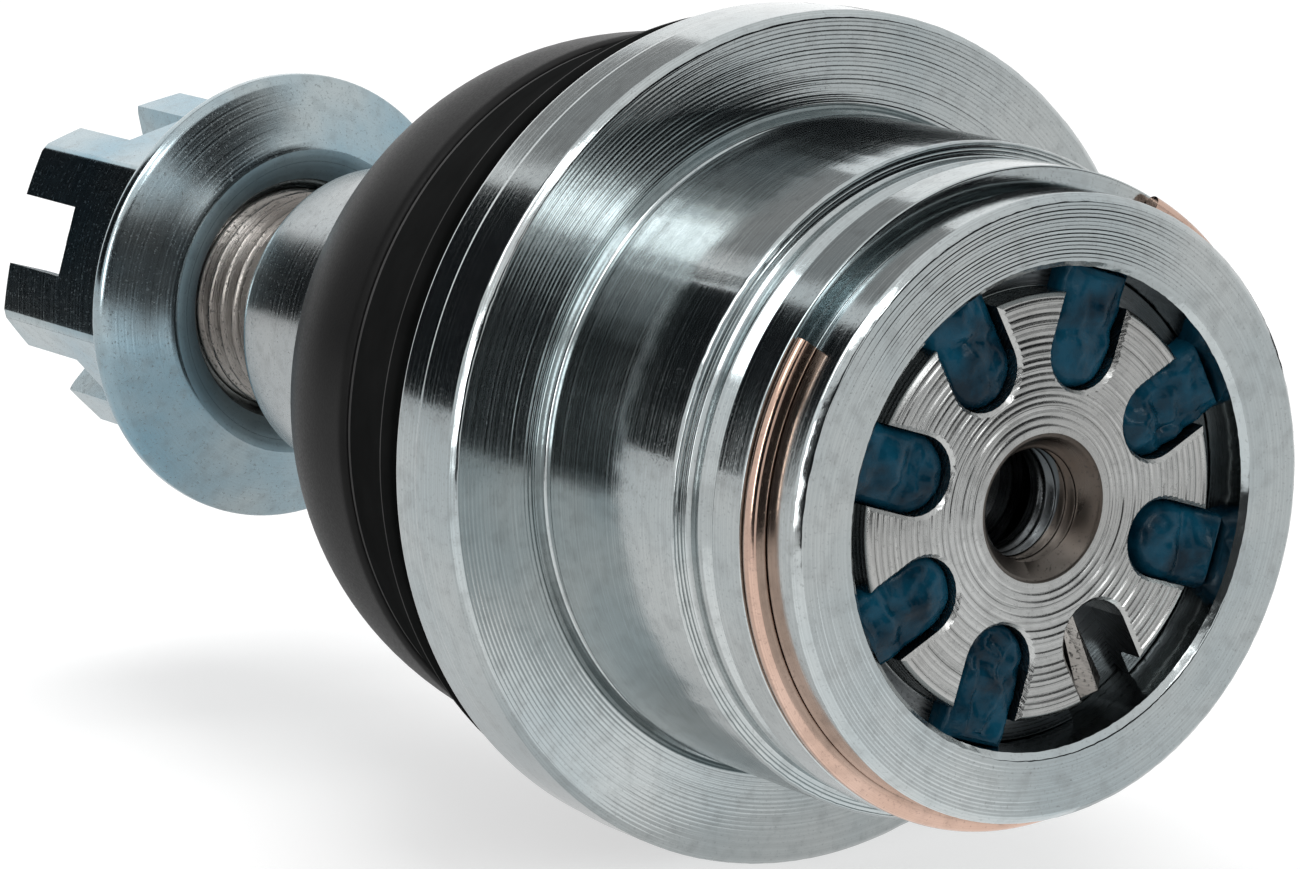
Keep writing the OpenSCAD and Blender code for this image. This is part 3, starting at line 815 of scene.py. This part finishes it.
WIRE = build_wire()
ring_in, ring_out = 18.76, 20.62
ring_y = (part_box("retaining_ring")[0].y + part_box("retaining_ring")[1].y) / 2
ring_gap = math.radians(84)
ring_end = math.radians(144.3)
snap_ring = grown("snap_ring", bpy.data.meshes.new("snap_ring"), WIRE, copper_plate,
                  arc_radius=(ring_in + ring_out) / 2 * MM, start_angle=ring_end,
                  sweep=TURN - ring_gap, height=(ring_out - ring_in) * MM, width=1.06 * MM,
                  round=0.5 * MM)
stand = Matrix(((1, 0, 0, 0), (0, 0, 1, ring_y), (0, 1, 0, 0), (0, 0, 0, 1)))
snap_ring.data.transform(stand)
outward(snap_ring.data)
smooth(snap_ring.data, 50)
report(snap_ring, "housing", "copper_plate", "retaining_ring")

# %% [markdown]
# ## The stud
#
# The stud is one outline from the flat on the ball to the end of the thread. The lathe tree
# cuts the thread as it turns. The finished mesh is then laid onto the leaning axis, so that
# the object itself stays at the origin, unturned. The cotter hole behind the nut's fingers is
# left out here.


# %% The ball stud
def taper_r(y):
    return 10.85 + (49.4 - y) * 0.125 / 2


def arc_rows(radius, first, last, steps):
    """Rows along a ball, from one angle to another above its equator."""
    span = [first + (last - first) * k / steps for k in range(steps + 1)]
    return [(radius * math.cos(a), radius * math.sin(a), 0, None) for a in span]


BALL_R = 12.7
THREAD_R = 8.0
STUD_END = 78.3
ball_rows = arc_rows(BALL_R, -math.asin(12.2 / BALL_R), math.acos(7.7 / BALL_R), 30)
thread_steps = int((STUD_END - 1.2 - 50.3) / 0.09)
stud_rows = [(THREAD_R, 50.3 + k * 0.09, 0, None) for k in range(thread_steps)]
stud_outline = [
    (0, -12.2, 0, None),
    *ball_rows,
    (7.4, 12.1, 1.0, None),
    (7.4, 25.0, 3.0, None),
    (taper_r(32), 32.0, 0.8, None),
    (taper_r(49.2), 49.2, 0.35, None),
    (10.2, 49.8, 0.2, None),
    (THREAD_R, 50.1, 0.1, None),
    *stud_rows,
    (THREAD_R - 1.1, STUD_END - 0.15, 0.2, None),
    (THREAD_R - 1.5, STUD_END, 0, None),
    (0, STUD_END, 0, None),
]
stud = turned("tapered_stud", stud_outline, stud_steel, segments=160, thread_radius=THREAD_R * MM,
              thread_pitch=1.5 * MM, thread_depth=-0.92 * MM, thread_from=50.2 * MM,
              thread_to=(STUD_END - 0.5) * MM)
stud.data.materials.append(worn_thread)
for face in stud.data.polygons:
    face.material_index = 1 if face.center.y > 49.95 * MM else 0
stud.data.transform(TO_STUD)
report(stud, "stud", "stud_steel", "ball_stud")

# %% [markdown]
# ## The castle nut
#
# The nut joins two shapes: a turned flange with a cone, and a hexagon whose corners were
# turned off. Three cuts across its end make the six slots between its fingers. Its bearing
# face is dished, with a soft ridge round the hole.
# The plating round the hole looks duller and bluer than the rest, so those faces get a
# second finish.

# %% The castle nut
NUT_AF = 22.0
corner_r = NUT_AF / 2 / math.cos(math.pi / 6)
rim_back = NUT_AT + 2.2
cone_back = rim_back + 4.6
flange_outline = [
    (8.05, NUT_AT + 1.4, 0, None),
    (8.7, NUT_AT + 0.5, 0.25, None),
    (9.6, NUT_AT - 0.35, 0.4, None),
    (10.8, NUT_AT - 0.9, 0.8, None),
    (12.4, NUT_AT - 0.15, 0.9, None),
    (15.8, NUT_AT + 1.3, 0.2, None),
    (16.2, NUT_AT + 1.6, 0.2, None),
    (16.2, rim_back + 0.35, 0.4, None),
    (15.2, rim_back + 0.7, 0.5, None),
    (NUT_AF / 2 + 0.2, cone_back, 1.2, None),
    (NUT_AF / 2 - 0.4, cone_back + 1.2, 0, None),
    (8.05, cone_back + 1.2, 0, None),
    (8.05, NUT_AT + 1.4, 0, None),
]
nut = turned("flanged_castle_nut", flange_outline, zinc_nut, segments=144)
limit_outline = [
    (8.05, rim_back + 0.5, 0, None),
    (corner_r + 0.5, rim_back + 0.5, 0, None),
    (corner_r + 0.5, NUT_TIP - 1.2, 0.5, None),
    (corner_r - 1.7, NUT_TIP, 0.5, None),
    (8.05, NUT_TIP, 0, None),
    (8.05, rim_back + 0.5, 0, None),
]


# %% Straight prisms and a blunted hexagon


def prism(name, loop, low_y, high_y):
    """A straight prism over a closed loop of (x, z) points, in mm, along Y."""
    shell = bmesh.new()
    rings = [[shell.verts.new(Vector((x, y, z)) * MM) for x, z in loop] for y in (low_y, high_y)]
    for k in range(len(loop)):
        after = (k + 1) % len(loop)
        shell.faces.new((rings[0][k], rings[0][after], rings[1][after], rings[1][k]))
    shell.faces.new(rings[0])
    shell.faces.new(rings[1])
    bmesh.ops.recalc_face_normals(shell, faces=shell.faces)
    mesh = bpy.data.meshes.new(name)
    shell.to_mesh(mesh)
    shell.free()
    return new_object(name, mesh)


def hexagon(across_flats, first_flat, blunt=0.35):
    """Corners of a hexagon, each one slightly blunted by two points."""
    reach = across_flats / 2 / math.cos(math.pi / 6)
    loop = []
    for k in range(6):
        corner = first_flat + math.pi / 6 + k * math.pi / 3
        for side in (-1, 1):
            a = corner + side * blunt / reach
            loop.append(((reach - blunt * 0.3) * math.cos(a), (reach - blunt * 0.3) * math.sin(a)))
    return loop


# %% Join flange and hexagon, then mill the slots
hex_body = turned("hex_body", limit_outline, zinc_nut, segments=144)
carve(hex_body, prism("hex_limit", hexagon(NUT_AF, NUT_TURN), rim_back, NUT_TIP + 1), "INTERSECT")
carve(nut, hex_body, "UNION")
slot_floor = NUT_TIP - 6.8
for k in range(3):
    turn = NUT_TURN + k * math.pi / 3
    out = Vector((math.cos(turn), math.sin(turn)))
    side = Vector((-out.y, out.x))
    loop = [out * 15 * a + side * 2.6 * b for a, b in ((-1, -1), (1, -1), (1, 1), (-1, 1))]
    carve(nut, prism("finger_slot", [tuple(p) for p in loop], slot_floor, NUT_TIP + 1))

# %% Break the nut's edges and give it two finishes
bevel = nut.modifiers.new("broken_edges", "BEVEL")
bevel.width = 0.22 * MM
bevel.segments = 2
bevel.limit_method = "ANGLE"
bevel.angle_limit = math.radians(40)
settle(nut)
nut.data.materials.clear()
nut.data.materials.append(zinc_nut)
nut.data.materials.append(zinc_seat)
for face in nut.data.polygons:
    reach = math.hypot(face.center.x, face.center.z) / MM
    face.material_index = 1 if reach < 11.1 and face.center.y < (NUT_AT + 0.4) * MM else 0
outward(nut.data)
smooth(nut.data, 35)
weighted = nut.modifiers.new("flat_faces_stay_flat", "WEIGHTED_NORMAL")
weighted.keep_sharp = True
settle(nut)
nut.data.transform(TO_STUD)
report(nut, "nut", "zinc_plate", "castle_nut")

# %% [markdown]
# ## The boot and its clamp
#
# The boot is rubber, held in a groove of the housing at one end and sealing on the stud at
# the other, so on the real joint it has to bend with both tilts of the stud. Here two closed
# shells meet face to face on its side: a short one from the housing's groove and a long one
# up to the stud's neck. Both are bent once, so that the lip follows the leaning stud.

# %% The boot's outline
BOOT_BASE = (24.4, 18.9)
BOOT_LIP = (13.24, 36.8)
BOOT_WALL = 1.9
BOOT_SEAM = 25.5


def boot_side(y, wall=0.0):
    """Radius of the boot at a length: one smooth bulge that closes towards the lip."""
    s = min(max((y - BOOT_BASE[1]) / (BOOT_LIP[1] - BOOT_BASE[1]), 0), 1)
    share = (1 - s ** 3) ** 1.16 * (1 - 0.2 * s)
    return BOOT_LIP[0] - wall + (BOOT_BASE[0] - BOOT_LIP[0]) * share


def boot_wall_rows(y_from, y_to, wall, steps):
    rows = []
    for k in range(steps + 1):
        y = y_from + (y_to - y_from) * k / steps
        rows.append((boot_side(y, wall), y, 0, None))
    return rows


lower_boot = [
    (20.9, 11.3, 0.2, None),
    (22.9, 11.3, 0.2, None),
    (22.9, 18.12, 0.1, None),
    (24.25, 18.15, 0.12, None),
    *boot_wall_rows(18.6, BOOT_SEAM, 0, 28),
    *boot_wall_rows(BOOT_SEAM, 19.2, BOOT_WALL, 24),
    (22.1, 17.8, 0.1, None),
    (22.1, 15.2, 0.1, None),
    (20.9, 15.2, 0.1, None),
    (20.9, 11.3, 0, None),
]
lip_in = taper_r(36.8) + 0.35
upper_boot = [
    *boot_wall_rows(BOOT_SEAM, 36.1, 0, 34),
    (13.3, 36.75, 0.2, None),
    (12.2, 36.8, 0.3, None),
    (lip_in, 36.3, 0.2, None),
    (12.1, 35.8, 0.1, None),
    (13.75, 35.65, 0.05, None),
    (13.75, 33.75, 0.05, None),
    (12.15, 33.7, 0.1, None),
    (12.15, 32.6, 0.3, None),
    *boot_wall_rows(31.6, BOOT_SEAM, BOOT_WALL, 20),
    (boot_side(BOOT_SEAM), BOOT_SEAM, 0, None),
]


def lean_boot(mesh):
    """Bends an upright boot so that its lip follows the leaning stud."""
    lean_axis = Vector((0, 1, 0)).cross(STUD_AXIS).normalized()
    for vertex in mesh.vertices:
        share = (vertex.co.y / MM - NECK_END) / (32.6 - NECK_END)
        turn = Matrix.Rotation(STUD_LEAN * min(max(share, 0), 1), 3, lean_axis)
        vertex.co = turn @ vertex.co


# %% Lean both shells onto the leaning stud
boot_parts = {}
for name, outline in (("boot_base", lower_boot), ("boot_dome", upper_boot)):
    part = turned(name, outline, boot_rubber, segments=144)
    lean_boot(part.data)
    boot_parts[name] = part
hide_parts("boot")
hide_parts("boot")
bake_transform(boot_parts["boot_base"])
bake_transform(boot_parts["boot_dome"])

# %% The clamp
clamp_outline = [
    (23.2, 9.6, 0, None),
    (26.3, 9.6, 0.15, None),
    (26.75, 10.0, 0.2, None),
    (24.26, 17.66, 0, None),
    (24.2, 17.85, 0.05, None),
    (24.2, 18.05, 0.08, None),
    (23.2, 18.05, 0, None),
    (23.2, 9.6, 0, None),
]
clamp = turned("boot_band", clamp_outline, black_band, segments=192)
clamp.data.materials.append(clamp_edge_highlight)
# Painted highlight: the clamp's outer front corner and its rear lip take the lighter grey, for the
# light these rounded edges catch.
for face in clamp.data.polygons:
    reach = math.hypot(face.center.x, face.center.z) / MM
    front_edge = face.center.y < 10.06 * MM and reach > 26.68
    face.material_index = 1 if front_edge or face.center.y > 17.66 * MM else 0
report(clamp, "housing", "black_band", "boot_clamp")

# %% [markdown]
# ## The hidden pieces
#
# The races, springs, plate, seal and the small neck ring are already the right shape, so
# they stay as they are and only take a finish.

# %% Finishes of the hidden pieces
hidden = {
    "lower_race": race_steel,
    "upper_race": race_steel,
    "pressure_plate": deep_shade_steel,
    "disc_spring_outer": spring_steel,
    "disc_spring_inner": spring_steel,
    "boot_neck_ring": spring_steel,
    "cap_o_ring": seal_rubber,
}
for node_name, finish in hidden.items():
    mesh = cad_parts[node_name].data
    mesh.materials.clear()
    mesh.materials.append(finish)
print("finished hidden nodes:", len(hidden))

# %% [markdown]
# ## Floor, light and camera
#
# Polished metal shows its surroundings, so the light is mostly a matter of what stands
# around the piece. A white room gives the pale sides. Black cards and glowing panels, which
# only reflections can see, give the dark sides and the bright edges, and they are placed for
# this camera. Two soft lamps light the dull surfaces.

# %% The floor and the white room
scene = bpy.context.scene
scene.view_settings.view_transform = "Standard"
FLOOR_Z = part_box("housing")[0].z - 0.0006


def flat_card(name, centre, across, up, material):
    """A rectangle from its centre and two half edges."""
    c, a, u = Vector(centre), Vector(across), Vector(up)
    mesh = bpy.data.meshes.new(name)
    mesh.from_pydata([c - a - u, c + a - u, c + a + u, c - a + u], [], [(0, 1, 2, 3)])
    mesh.materials.append(material)
    card = new_object(name, mesh)
    return card


def floor_finish():
    material, tree, shader = blank_finish("pale_floor")
    shader.inputs["Base Color"].default_value = (0.80, 0.80, 0.80, 1)
    shader.inputs["Roughness"].default_value = 0.9
    rays = tree.nodes.new("ShaderNodeLightPath").outputs
    white = add_node(tree, "ShaderNodeEmission", {"Color": (1, 1, 1, 1), "Strength": 0.62})
    pale = add_node(tree, "ShaderNodeBsdfDiffuse", {"Color": (0.5, 0.5, 0.5, 1)})
    seen = add_node(tree, "ShaderNodeAddShader", {0: white.outputs[0], 1: pale.outputs[0]})
    lit = add_node(tree, "ShaderNodeEmission", {"Color": (1, 1, 1, 1), "Strength": 0.62})
    pale_2 = add_node(tree, "ShaderNodeBsdfDiffuse", {"Color": (0.29, 0.29, 0.29, 1)})
    mirrored = add_node(tree, "ShaderNodeAddShader", {0: lit.outputs[0], 1: pale_2.outputs[0]})
    other = add_node(tree, "ShaderNodeMixShader", {0: rays["Is Glossy Ray"],
                     1: shader.outputs[0], 2: mirrored.outputs[0]})
    mix = add_node(tree, "ShaderNodeMixShader", {0: rays["Is Camera Ray"],
                   1: other.outputs[0], 2: seen.outputs[0]})
    tree.links.new(mix.outputs[0], tree.nodes["Material Output"].inputs["Surface"])
    return material


flat_card("floor", (0, 0, FLOOR_Z), (4, 0, 0), (0, 4, 0), floor_finish())


def white_room(strength):
    world = bpy.data.worlds.new("white_room")
    scene.world = world
    world.use_nodes = True
    tree = world.node_tree
    tree.nodes.clear()
    rays = tree.nodes.new("ShaderNodeLightPath").outputs
    shows = calc(tree, "MAXIMUM", rays["Is Camera Ray"], rays["Is Glossy Ray"])
    shows = calc(tree, "MAXIMUM", shows, rays["Is Transmission Ray"])
    power = spread(tree, shows, 0.0, 1.0, strength, 1.0)
    sky = add_node(tree, "ShaderNodeBackground", {"Color": (1, 1, 1, 1), "Strength": power})
    out = add_node(tree, "ShaderNodeOutputWorld", {"Surface": sky.outputs[0]})
    return out


white_room(0.40)

# %% The black cards


def black_card_finish():
    material, tree, shader = blank_finish("black_card")
    shader.inputs["Base Color"].default_value = (0.012, 0.014, 0.016, 1)
    shader.inputs["Roughness"].default_value = 1.0
    shader.inputs["Specular IOR Level"].default_value = 0.0
    return material


def only_in_reflections(card):
    card.visible_camera = False
    card.visible_diffuse = False
    card.visible_shadow = False
    card.visible_transmission = False


card_black = black_card_finish()
cards = {
    "card_back_left": ((-0.095, 0.20, 0.093), (0, 0.125, 0), (0, 0, 0.088)),
    "card_front_left": ((-0.105, -0.135, 0.03), (0.07, 0, 0), (0, 0, 0.060)),
    "card_front_right": ((0.21, -0.38, 0.16), (0.18, 0, 0), (0, 0, 0.16)),
    "card_floor_right": ((0.32, 0.44, FLOOR_Z + 0.0015), (0.24, 0, 0), (0, 0.32, 0)),
}
for name, (centre, across, up) in cards.items():
    only_in_reflections(flat_card(name, centre, across, up, card_black))

# %% Glowing panels, also only for reflections


def glow(name, strength):
    material, tree, shader = blank_finish(name)
    light = add_node(tree, "ShaderNodeEmission", {"Color": (1, 1, 1, 1), "Strength": strength})
    tree.links.new(light.outputs[0], tree.nodes["Material Output"].inputs["Surface"])
    return material


panels = {
    "panel_grey": (0.35, (0.005, 0.15, 0.140), (0.055, 0, 0), (0, 0, 0.035)),
    "panel_back": (1.25, (0.13, 0.36, 0.17), (0.22, 0, 0), (0, 0, 0.17)),
    "panel_over_front": (6.5, (-0.072, -0.40, 0.296), (0.050, 0, 0), (0, 0, 0.06)),
    "panel_left_edge": (6.0, (-0.39, -0.28, 0.075), (0.045, -0.06, 0), (0, 0, 0.12)),
    "panel_near_floor": (1.2, (-0.045, -0.065, FLOOR_Z + 0.001), (0.055, 0, 0), (0, 0.05, 0)),
    "panel_up_left": (5.0, (-0.30, -0.04, 0.33), (0, 0.10, 0), (0.10, 0, 0.08)),
    "panel_over_camera": (5.0, (-0.195, -0.26, 0.37), (0.06, -0.04, 0), (0.02, 0.03, 0.04)),
}
for name, (strength, centre, across, up) in panels.items():
    only_in_reflections(flat_card(name, centre, across, up, glow(name, strength)))

# %% The soft lamps


def soft_lamp(name, direction, distance, size, power, aim=(0, 0, 0)):
    """A lamp that lights dull surfaces. Mirrors see the panels instead."""
    lamp = bpy.data.lights.new(name, "AREA")
    lamp.shape = "RECTANGLE"
    lamp.size, lamp.size_y = size
    lamp.energy = power
    holder = bpy.data.objects.new(name, lamp)
    scene.collection.objects.link(holder)
    holder.location = Vector(aim) + Vector(direction).normalized() * distance
    look = Vector(aim) - holder.location
    holder.rotation_euler = look.to_track_quat("-Z", "Y").to_euler()
    holder.visible_camera = False
    holder.visible_glossy = False
    return holder


soft_lamp("lamp_top", (0.1, 0.3, 1.0), 0.8, (0.5, 0.5), 4.0)
soft_lamp("lamp_front", (-0.3, -0.9, 0.5), 0.8, (0.4, 0.4), 1.5)

# %% The camera
CAMERA_TURN = math.radians(-34.46)
CAMERA_RISE = math.radians(11.98)
AIM = Vector((-0.0021, 0.0159, -0.0020))
DISTANCE = 0.36
toward = Vector((math.sin(CAMERA_TURN) * math.cos(CAMERA_RISE),
                 -math.cos(CAMERA_TURN) * math.cos(CAMERA_RISE), math.sin(CAMERA_RISE)))
camera_data = bpy.data.cameras.new("camera")
camera_data.sensor_width = 36.0
camera_data.lens = 150.3
camera_data.clip_start = 0.01
camera = bpy.data.objects.new("camera", camera_data)
scene.collection.objects.link(camera)
camera.location = AIM + toward * DISTANCE
camera.rotation_euler = (-toward).to_track_quat("-Z", "Y").to_euler()
scene.camera = camera
print("camera at", [round(v, 4) for v in camera.location])
